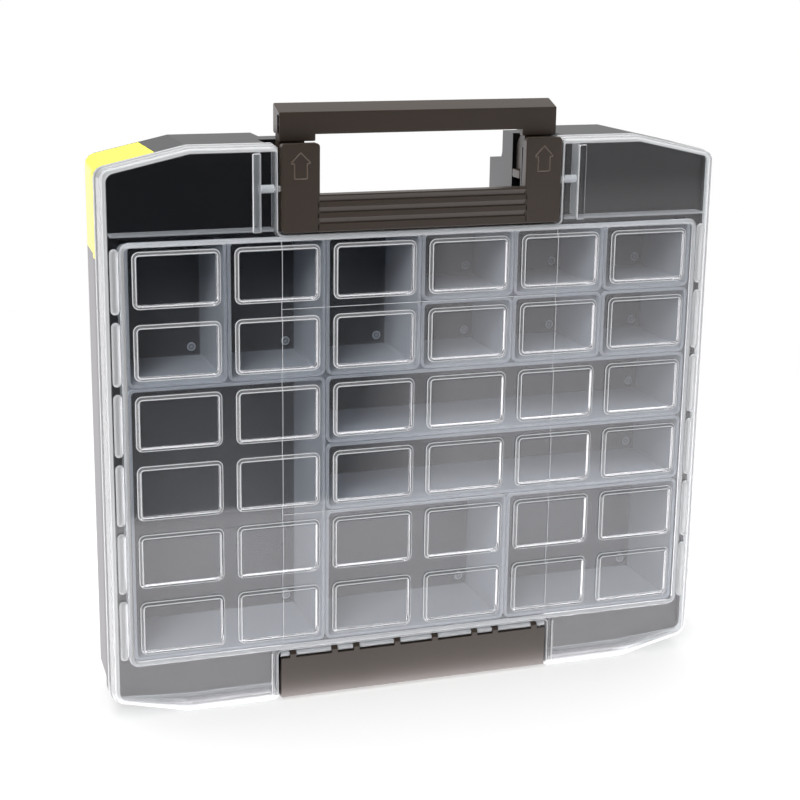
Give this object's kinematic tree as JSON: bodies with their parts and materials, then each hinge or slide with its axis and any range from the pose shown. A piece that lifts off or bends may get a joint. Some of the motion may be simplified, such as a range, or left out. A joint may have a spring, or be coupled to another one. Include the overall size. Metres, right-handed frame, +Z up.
{
  "type": "compartment organizer box",
  "caption": "Flat carrying case for small parts: tray with loose clear compartments, hinged clear windowed lid, rocker latch and draw-out handle.",
  "frame": {"origin": "middle of the footprint, on the surface that the case stands on, under its hinge edge", "axes": "+Z up as the case is carried, +X to the right of someone who looks at the lid, the lid faces -Y"},
  "size_m": [0.46, 0.078, 0.4363],
  "materials": {
    "tray": "moulded polypropylene, dark blue-grey, fine even grain",
    "clear_lid": "clear polycarbonate, polished mould",
    "insert": "natural translucent light grey polypropylene, satin",
    "handle": "moulded dark brown plastic, satin",
    "latch": "moulded dark brown plastic, satin",
    "hinge_plate": "moulded dark brown plastic, satin",
    "pin": "drawn steel wire",
    "corner_clip": "moulded yellow plastic, satin"
  },
  "bodies": {
    "case": {"tray": "tray", "corner_clip": "corner_clip", "lower_hinge_pin": "pin", "insert_1": "insert", "insert_2": "insert", "insert_3": "insert", "insert_4": "insert", "insert_5": "insert", "insert_6": "insert", "insert_7": "insert", "insert_8": "insert", "insert_9": "insert", "insert_10": "insert", "insert_11": "insert", "insert_12": "insert", "insert_13": "insert", "insert_14": "insert"},
    "lid": {"lid": "clear_lid", "hinge_plate": "hinge_plate", "upper_hinge_pin": "pin"},
    "latch": {"latch": "latch"},
    "handle": {"handle": "handle"}
  },
  "joints": [
    {"name": "lid_hinge", "type": "hinge", "parent": "case", "child": "lid", "pos_m": [0, -0.023, 0.0022], "axis": [1, 0, 0], "range_deg": [0, 125]},
    {"name": "latch_rock", "type": "hinge", "parent": "lid", "child": "latch", "pos_m": [0, -0.034, 0.379], "axis": [-1, 0, 0], "range_deg": [0, 6], "stiffness_Nm_per_rad": 0.5},
    {"name": "handle_slide", "type": "slide", "parent": "case", "child": "handle", "axis": [0, 0, 1], "range_m": [-0.0115, 0]}
  ]
}
